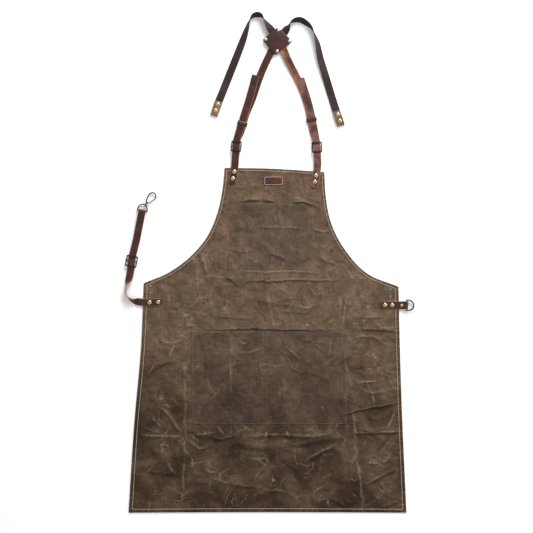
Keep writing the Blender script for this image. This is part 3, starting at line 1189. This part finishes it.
def build_label():
    """A blank leather label with a sewn border."""
    flat = Flat(rounded(LABEL, LABEL_CORNER), 1.3, (0.35, 0.9, 1.7, 2.3, 3.0))
    far = flat.distance
    top = ON_PANEL + 1.4 + 0.06 * cloudy(flat.points, 8, 2.0) - 0.5 * (1 - smoothstep(far, 0, 0.9)) ** 1.5
    top -= 0.3 * np.exp(-((far - LABEL_SEAM) / 0.5) ** 2)
    top += 0.25 * smoothstep(far, 2.8, 6.0)
    return flat.raised("label", top, np.full(len(far), ON_PANEL - 0.25), [LABEL_LEATHER, TAN_EDGE],
                       edge_paint_index=1)


label = settle(build_label(), "apron", "label_leather", "label_patch")
label_path = moved_in(refined(rounded(LABEL, LABEL_CORNER), 1.5), LABEL_SEAM)
settle(stitches("label_seam", label_path, surface(label), THREAD, closed=True, length=2.9, gap=0.45,
                radius=0.75),
       "apron", None)


# ---------------------------------------------------------------- straps

STRAP_PROFILE = strap_section(STRAP_WIDTH, STRAP_THICK, 0.55, 0.15)
# The doubled strap on the right shows the tan flesh side of its leather, from here to one edge
FLESH_FROM = 3.4
SPLIT_PROFILE = [(a, b, 2 if b > 0 and FLESH_FROM < a and not edge else edge) for a, b, edge in STRAP_PROFILE]
WEBBING_PROFILE = strap_section(WEBBING_WIDTH, WEBBING_THICK, 0.7, 0.1)
RIVETS = {
    "bib_rivet_left_upper": (-82.9, 420.5), "bib_rivet_left_lower": (-86.4, 403.5),
    "bib_rivet_right_upper": (121, 411), "bib_rivet_right_lower": (118.2, 395.5),
    "waist_rivet_outer": (-294.5, 94), "waist_rivet_inner": (-273, 95.1),
    "ring_tab_rivet_inner": (293.5, 87.7), "ring_tab_rivet_middle": (311.5, 87.4),
    "ring_tab_rivet_end": (335, 87),
    "left_tail_rivet_upper": (-124, 588.7), "left_tail_rivet_lower": (-129.5, 573),
    "right_tail_rivet_upper": (175.6, 563), "right_tail_rivet_lower": (180.6, 547.6),
    "patch_rivet_top": (27, 773.5), "patch_rivet_left": (-4.5, 750.5), "patch_rivet_bottom": (24, 721),
    "patch_rivet_right": (54.5, 746.5),
}


def pressed(*names, radius=8.0, depth=0.16):
    """Where rivets press a strap's face in."""
    return [(*RIVETS[name], radius, depth) for name in names]


def strap(name, route, body, node_names, round_tip=0.0, rivets=(), width=STRAP_WIDTH, thick=STRAP_THICK,
          section=STRAP_PROFILE, paints=(LEATHER, TAN_EDGE), slot="leather", fold=None):
    """A strap along a route; fold is the centres and across direction of the part turned back under it."""
    centres, across = stations_of(smooth_route(route, LEATHER_STEP), width, thick)
    if fold is not None:
        centres = np.concatenate([centres, fold[0]])
        across = np.concatenate([across, np.tile(fold[1], (len(fold[0]), 1))])
    item = ribbon(name, centres, across, section, list(paints), round_tip, pressed(*rivets))
    return settle(item, body, slot, *node_names)


def cut_short(end, beside, share):
    """A route's end moved a little towards the point beside it."""
    return tuple((1 - share) * a + share * b for a, b in zip(end, beside))


for strap_side, bib_route, upper_route in (("left", LEFT_BIB_STRAP, LEFT_UPPER_STRAP),
                                           ("right", RIGHT_BIB_STRAP, RIGHT_UPPER_STRAP)):
    face_leather = LEATHER if strap_side == "left" else PULLED_LEATHER
    shoulder = strap(strap_side + "_shoulder_strap", bib_route, None,
                     (strap_side + "_strap_root", strap_side + "_bib_strap"), round_tip=8.0,
                     rivets=(f"bib_rivet_{strap_side}_upper", f"bib_rivet_{strap_side}_lower"),
                     paints=(face_leather, TAN_EDGE))
    hinge_x, hinge_y = bib_route[3][:2]
    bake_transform(shoulder)
    strap(strap_side + "_doubled_strap",
          upper_route[:-1] + [cut_short(upper_route[-1], upper_route[-2], 0.03)],
          "harness", (strap_side + "_upper_strap",), paints=(face_leather, TAN_EDGE, FLESH_SIDE),
          section=STRAP_PROFILE if strap_side == "left" else SPLIT_PROFILE)

MID_WEBBING = 9.8              # height of the middle of webbing that stands on edge
for strap_side, route, hinge, toward in (("left", LEFT_WEBBING, (-43, 801.5), -1),
                                         ("right", RIGHT_WEBBING, (57, 792), 1)):
    piece = strap(strap_side + "_webbing", [cut_short(route[0], route[1], 0.06)] + route[1:], None,
                  (strap_side + "_webbing_root", strap_side + "_webbing_tail"), width=WEBBING_WIDTH,
                  thick=WEBBING_THICK, section=WEBBING_PROFILE, paints=(WEBBING,), slot="webbing")
    spot(hinge[0] - 3 * toward, hinge[1], MID_WEBBING)
    spot(hinge[0] + 3 * toward, hinge[1], MID_WEBBING)
    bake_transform(piece)

waist_across = np.array([-WAIST_ALONG.y, WAIST_ALONG.x, 0.0])
waist_strap = strap("waist_strap_leather", WAIST_STRAP, None, ("waist_strap_root", "waist_strap"),
                    round_tip=8.0,
                    rivets=("waist_rivet_outer", "waist_rivet_inner"),
                    fold=(fold_round(WAIST_BAR, WAIST_ALONG, WAIST_FOLD_RADIUS, WAIST_RETURN), waist_across))
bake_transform(waist_strap)

strap("ring_tab_leather", RING_TAB, "apron", ("ring_tab",), round_tip=5.0,
      rivets=("ring_tab_rivet_inner", "ring_tab_rivet_middle"), width=RING_TAB_WIDTH, thick=RING_TAB_THICK,
      section=strap_section(RING_TAB_WIDTH, RING_TAB_THICK, 0.5, 0.15),
      fold=(fold_round(RING_BAR, (1.0, 0.0, 0.0), RING_FOLD_RADIUS, RING_RETURN), (0.0, 1.0, 0.0)))

# Leather folded over each webbing end
TAB_SECTION = strap_section(WEBBING_WIDTH + 0.5, TAB_LEATHER, 0.4, 0.1)
tab_radius = 1.5 + TAB_LEATHER / 2 - 0.15
tab_middle = 2.95 + WEBBING_THICK / 2
for tab_side, tab in TAIL_TABS.items():
    mouth = np.array([*tab["mouth"], tab_middle + tab_radius])
    end = np.array([*tab["end"], tab_middle])
    along = end - mouth
    along[2] = 0.0
    along /= np.linalg.norm(along)
    bend = end - along * (tab_radius + TAB_LEATHER / 2)
    length = np.linalg.norm((bend - mouth)[:2])
    upper = [mouth + along * length * share for share in np.linspace(0, 0.97, 18)]
    centres = np.concatenate([upper, fold_round(bend, along, tab_radius, length)])
    across = np.tile([-along[1], along[0], 0.0], (len(centres), 1))
    tab_rivets = [f"{tab_side}_tail_rivet_{level}" for level in ("upper", "lower")]
    tab_item = ribbon(tab_side + "_tail_leather", centres, across, TAB_SECTION, [TAB_LEATHER_PAINT, TAN_EDGE],
                      dips=pressed(*tab_rivets))
    settle(tab_item, tab_side + "_tail", "leather", tab_side + "_tail_tab")


def build_patch(name, low, dome):
    """One of the two leather diamonds that the straps and webbing are riveted between."""
    flat = Flat(rounded(np.array(PATCH_CORNERS, float), 3.0), 1.9, (0.4, 1.0, 2.0, 3.4))
    far = flat.distance
    top = low + PATCH_THICK - 0.45 * (1 - smoothstep(far, 0, 1.0)) ** 1.5 + dome * smoothstep(far, 0, 20)
    under = np.full(len(far), low) + dome * smoothstep(far, 0, 20)
    top += 0.15 * cloudy(flat.points, 12, 3.0)
    for rivet in ("top", "left", "bottom", "right"):
        x, y = RIVETS["patch_rivet_" + rivet]
        top -= 0.3 * dome * np.exp(-(np.hypot(flat.points[:, 0] - x, flat.points[:, 1] - y) / 6) ** 2)
    return flat.raised(name, top, under, [LEATHER, TAN_EDGE], edge_paint_index=1)


settle(build_patch("patch_front", PATCH_SEAT, 0.7), "harness", "leather", "cross_patch_front")
settle(build_patch("patch_back", 0.9, 0.0), "harness", "leather", "cross_patch_back")


def build_keeper(name, middle, along):
    """A leather band round the doubled strap."""
    half_x, half_z, wall, half_y, low = 11.75, 2.85, 1.0, 5.0, 0.2
    heading = np.array([*along, 0.0]) / math.hypot(*along)
    right = np.array([heading[1], -heading[0], 0.0])
    verts, count = [], 0
    for y, grow in ((-half_y + 0.15, 0.0), (-half_y, 0.5), (-half_y + 0.3, 0.92), (-2.5, 1.04), (0, 1.1),
                    (2.5, 1.04), (half_y - 0.3, 0.92), (half_y, 0.5), (half_y - 0.15, 0.0)):
        size = wall * grow
        x, z = half_x + size, half_z + size
        ring = rounded(np.array([(-x, -z), (x, -z), (x, z), (-x, z)]), 1.0 + size, 6)
        count = len(ring)
        for x, z in ring:
            verts.append(np.array([*middle, low + wall + half_z])
                         + right * x + heading * y + np.array([0, 0, z]))
    faces = sleeve(len(verts) // count, count, closed=True)
    return make(name, verts, [face[::-1] for face in faces], [LEATHER], sharp=60)


settle(build_keeper("left_keeper_band", (-62.8, 540.6), (12.5, 42)), "left_keeper", "leather", "left_keeper")
settle(build_keeper("right_keeper_band", (110, 550.6), (-9.5, 48)), "right_keeper", "leather", "right_keeper")


# ---------------------------------------------------------------- metal

CAP_SPREAD = 0.4               # how far a cap's rim is pressed out past its blank


def rivet(name, front, radius, dome, body, paint=BRASS, slot="brass"):
    """A domed cap, its shank through the layers and the burr at the back."""
    seat = front + 0.3
    burr = min(radius, 4.0)
    radius += CAP_SPREAD
    profile = [(0, 0.05), (burr - 0.25, 0.05), (burr, 0.25), (burr, 0.5), (burr - 0.25, 0.7), (1.5, 0.7),
               (1.5, seat - 0.12), (radius - 0.35, seat - 0.12), (radius, seat + 0.12),
               (radius * 0.99, seat + 0.3)]
    for step in range(1, 9):
        angle = math.radians(11 * step)
        profile.append((radius * 0.97 * math.cos(angle), seat + 0.3 + (dome - 0.35) * math.sin(angle)))
    profile.append((0, seat + dome - 0.05))
    return settle(lathe(name + "_metal", profile, (*RIVETS[name], 0.0), paint), body, slot, name)


LARGE_CAP, SMALL_CAP = (5.0, 2.3), (3.2, 1.5)  # radius and dome
for side in ("left", "right"):
    for level in ("upper", "lower"):
        rivet(f"bib_rivet_{side}_{level}", ON_PANEL + STRAP_THICK, *LARGE_CAP, "apron")
        rivet(f"{side}_tail_rivet_{level}", tab_middle + tab_radius + TAB_LEATHER / 2, *LARGE_CAP,
              side + "_tail")
for name in ("waist_rivet_outer", "waist_rivet_inner"):
    rivet(name, ON_PANEL + STRAP_THICK, *LARGE_CAP, "apron")
for name in ("ring_tab_rivet_inner", "ring_tab_rivet_middle"):
    rivet(name, ON_PANEL + RING_TAB_THICK, *LARGE_CAP, "apron")
rivet("ring_tab_rivet_end", 6.3, *SMALL_CAP, "apron")
for corner in ("top", "left", "bottom", "right"):
    rivet("patch_rivet_" + corner, PATCH_SEAT + PATCH_THICK + 0.25, *SMALL_CAP, "harness", NICKEL, "nickel")

for name, place in EYELETS.items():
    top = PANEL_TOP + 0.3
    ring = [(2.2, 0.3), (2.5, 0.12), (4.6, 0.1), (5.0, 0.3), (4.8, 0.62), (3.3, 0.7), (3.3, top), (4.9, top),
            (5.0, top + 0.25), (4.6, top + 0.7), (3.7, top + 0.85), (2.8, top + 0.7), (2.2, top + 0.2)]
    barrel = [(1.7, 0.2), (2.1, 0.1), (2.3, 0.3), (2.3, top + 0.1), (2.0, top + 0.3), (1.7, top + 0.1)]
    metal = joined("eyelet_metal_" + name,
                   [lathe("ring", ring, (*place, 0.0), EYELET_METAL, sides=32, closed=True),
                    lathe("barrel", barrel, (*place, 0.0), BLACK_METAL, sides=32, closed=True)])
    settle(metal, "apron", "gunmetal", "eyelet_" + name)


FRAME_WIRE, BAR_WIRE, END_WIRE = 1.45, 0.98, 1.3  # radii
FRAME_INSET, END_INSET, END_SHORT = 1.4, 3.2, 2.6  # from a slider's outside to the middle of each wire
END_LIFT, CENTRE_LIFT = 6.5, 1.5     # height of the frame's ends and of its middle


def frame_bend(half_width, half_length, corner, middle, heading, right, height):
    """The closed line of a slider's frame, whose side rails dip between its raised ends, and its bar."""
    loop = rounded(np.array([(half_width, -half_length), (half_width, half_length),
                             (-half_width, half_length),
                             (-half_width, -half_length)], float), corner, 6)
    points = []
    for start, end in zip(loop, np.roll(loop, -1, axis=0)):
        count = max(1, round(np.linalg.norm(end - start) / 1.2))
        points += [start + (end - start) * step / count for step in range(count)]
    lifted = []
    for x, y in points:
        share = min(max((abs(y) - 1.1) / (half_length - 2.2), 0.0), 1.0)
        lifted.append(np.array([*middle, 0.0]) + right * x + heading * y
                      + np.array([0, 0, height + CENTRE_LIFT + (END_LIFT - CENTRE_LIFT) * share]))
    bar = [np.array([*middle, height + 1.0]) + right * x for x in np.linspace(-half_width, half_width, 12)]
    return lifted, bar


def build_slider(name, size, middle, along, height):
    """A three-bar slider bent from round wire: end bars over the strap, centre bar under it."""
    heading = np.array([*along, 0.0]) / math.hypot(*along)
    right = np.array([heading[1], -heading[0], 0.0])
    half_width, half_length = size[0] / 2, size[1] / 2
    frame_line, bar = frame_bend(half_width - FRAME_INSET, half_length - FRAME_INSET, 2.6, middle,
                                 heading, right, height)
    wires = []
    for way in (-1, 1):
        start = np.array([*middle, height + END_LIFT]) + heading * (half_length - END_INSET) * way
        line = [start + right * x for x in np.linspace(END_SHORT - half_width, half_width - END_SHORT, 12)]
        wires.append(tube(f"end_{way}", line, END_WIRE, BLACK_METAL, sides=16))
    wires.append(tube("frame", frame_line, FRAME_WIRE, BLACK_METAL, closed=True, sides=16))
    wires.append(tube("bar", bar, BAR_WIRE, BLACK_METAL, sides=16))
    return joined(name, wires)


SLIDERS = {"left_slider": ((26, 27), (-78, 484), (3, 40), 1.9),
           "right_slider": ((26, 27), (123.3, 481.6), (-3, 46), 1.9),
           "waist_slider": ((29, 29), (-339.6, 197), tuple(WAIST_ALONG.xy), 0.2)}
for name, slider_place in SLIDERS.items():
    settle(build_slider(name + "_wire", *slider_place), name, "gunmetal", name)


def ring_line(half_width, depth, corner, bar, along):
    """A D shape: a straight bar, two round corners and a bow that reaches `depth` from the bar."""
    reach = half_width - corner
    points = [(reach - 2 * reach * step / 12, 0.0) for step in range(13)]
    for step in range(1, 7):
        angle = math.radians(15 * step)
        points.append((-half_width + corner - corner * math.sin(angle), corner - corner * math.cos(angle)))
    for step in range(1, 40):
        angle = math.pi * step / 40
        points.append((-half_width * math.cos(angle), corner + (depth - corner) * math.sin(angle)))
    for step in range(6, 0, -1):
        angle = math.radians(15 * step)
        points.append((half_width - corner + corner * math.sin(angle), corner - corner * math.cos(angle)))
    along = Vector(along)
    right = Vector((along.y, -along.x, 0.0))
    return [np.array(Vector(bar) + right * x + along * y) for x, y in points]


RINGS = {"hook_loop": ((12.2, 17.5, 2.2, WAIST_BAR, WAIST_ALONG), 1.5),
         "d_ring": ((13.2, 18.2, 2.5, RING_BAR, (1.0, 0.0, 0.0)), 1.8)}
for name, (ring_shape, wire) in RINGS.items():
    settle(tube(name + "_wire", ring_line(*ring_shape), wire, GUNMETAL, closed=True), name, "gunmetal", name)

HOOK_FOOT = Vector((-304.8, 337.05, 4.3))
HOOK_ANGLE = math.radians(33)
HOOK_FORWARD = Vector((math.sin(HOOK_ANGLE), math.cos(HOOK_ANGLE), 0.0))
HOOK_RIGHT = Vector((math.cos(HOOK_ANGLE), -math.sin(HOOK_ANGLE), 0.0))
HOOK_ROUTE = [(8, 2.6), (7.6, -0.4), (10.2, -3.3), (15, -5.6), (22, -6.9), (30, -6.4), (35.5, -2.8),
              (37, 2.5),
              (34.8, 8), (30.5, 10.9), (26.3, 11.3)]


def on_hook(along, right, up=0.0):
    return HOOK_FOOT + HOOK_FORWARD * along + HOOK_RIGHT * right + Vector((0, 0, up))


EYE_RADIUS = 3.2
eye_circle = [on_hook(EYE_RADIUS * math.cos(turn), 0, EYE_RADIUS * math.sin(turn))
              for turn in 2 * math.pi * np.arange(40) / 40]
eye = tube("eye", eye_circle, 1.0, GUNMETAL, up=tuple(HOOK_RIGHT), closed=True, sides=16)
eye_post = lathe("post", [(0, 2.9), (1.0, 2.9), (1.0, 6.6), (0.8, 7.0), (0, 7.0)], HOOK_FOOT, GUNMETAL,
                 sides=24, axis=HOOK_FORWARD)
settle(joined("snap_eye_metal", [eye, eye_post]), "snap_eye", "gunmetal", "snap_eye")
hook_line = smooth_route([tuple(on_hook(*point)) for point in HOOK_ROUTE], 1.0)
hook_end = len(hook_line) - 1
hook_radii = np.interp(np.arange(hook_end + 1), [0, 6, (hook_end + 1) * 0.5, hook_end - 7, hook_end],
                       [1.6, 1.45, 1.5, 1.5, 1.35])
barrel_profile = [(1.35, 7.4), (1.35, 5.0), (2.3, 5.0), (2.65, 5.2), (2.7, 5.9), (2.45, 6.1), (2.45, 6.4),
                  (2.7, 6.6), (2.7, 8.1), (2.45, 8.7), (1.9, 9.0), (0, 9.0), (0, 7.4)]
barrel = lathe("barrel", barrel_profile, HOOK_FOOT, GUNMETAL, sides=32, closed=True, axis=HOOK_FORWARD)
hook = tube("hook", hook_line, hook_radii, GUNMETAL, sides=20)
settle(joined("snap_hook_metal", [hook, barrel]), "snap_hook", "gunmetal", "snap_hook")
gate_start, gate_end = on_hook(9.6, 4.9), on_hook(25.6, 11.25)
gate_line = [np.array(gate_start.lerp(gate_end, step / 16)) for step in range(17)]
gate_radii = np.interp(np.arange(17), [0, 2, 12, 16], [1.35, 1.1, 1.05, 1.0])
settle(tube("snap_gate_metal", gate_line, gate_radii, GUNMETAL, sides=18), "snap_gate", "gunmetal",
       "snap_gate")


# ---------------------------------------------------------------- cloth facts


# ---------------------------------------------------------------- floor, light and camera

FLOOR_HALF, FLOOR_DROP = 3.0, 0.0004  # metres; the floor lies just under the lowest thread
FLOOR_WHITE = (0.985, 0.985, 0.985)


def build_floor():
    data = bpy.data.meshes.new("floor")
    corners = [(-1, -1), (1, -1), (1, 1), (-1, 1)]
    data.from_pydata([(x * FLOOR_HALF, y * FLOOR_HALF, -FLOOR_DROP) for x, y in corners], [], [(0, 1, 2, 3)])
    paint = Paint("floor", roughness=0.9, Specular_IOR_Level=0.1)
    data.materials.append(paint.done(FLOOR_WHITE))
    item = bpy.data.objects.new("floor", data)
    bpy.context.collection.objects.link(item)
    return item


def build_light(name, place, size, power):
    """A soft round lamp that points at the middle of the frame."""
    light = bpy.data.lights.new(name, "AREA")
    light.shape = "DISK"
    light.size = size
    light.energy = power
    item = bpy.data.objects.new(name, light)
    bpy.context.collection.objects.link(item)
    item.location = place
    item.rotation_euler = (-Vector(place)).to_track_quat("-Z", "Y").to_euler()
    return item


floor = build_floor()
key = build_light("key", (0.8, 2.7, 1.75), size=1.7, power=112)
side_light = build_light("side", (2.8, 0.6, 1.6), size=1.2, power=26)

SURROUND = 0.66                # strength of the even light from all round
scene = bpy.context.scene
scene.world = bpy.data.worlds.new("studio")
scene.world.use_nodes = True
background = scene.world.node_tree.nodes["Background"]
background.inputs["Color"].default_value = (1, 1, 1, 1)
background.inputs["Strength"].default_value = SURROUND
scene.view_settings.view_transform = "Standard"

VIEW_WIDTH = 1.3325            # metres across the picture, at the table
VIEW_MIDDLE = (-0.0077, -0.0098)
lens = bpy.data.cameras.new("camera")
lens.lens = 100
lens.sensor_width = 36
lens.clip_end = 30
camera = bpy.data.objects.new("camera", lens)
bpy.context.collection.objects.link(camera)
camera.location = (*VIEW_MIDDLE, VIEW_WIDTH * lens.lens / lens.sensor_width)
scene.camera = camera
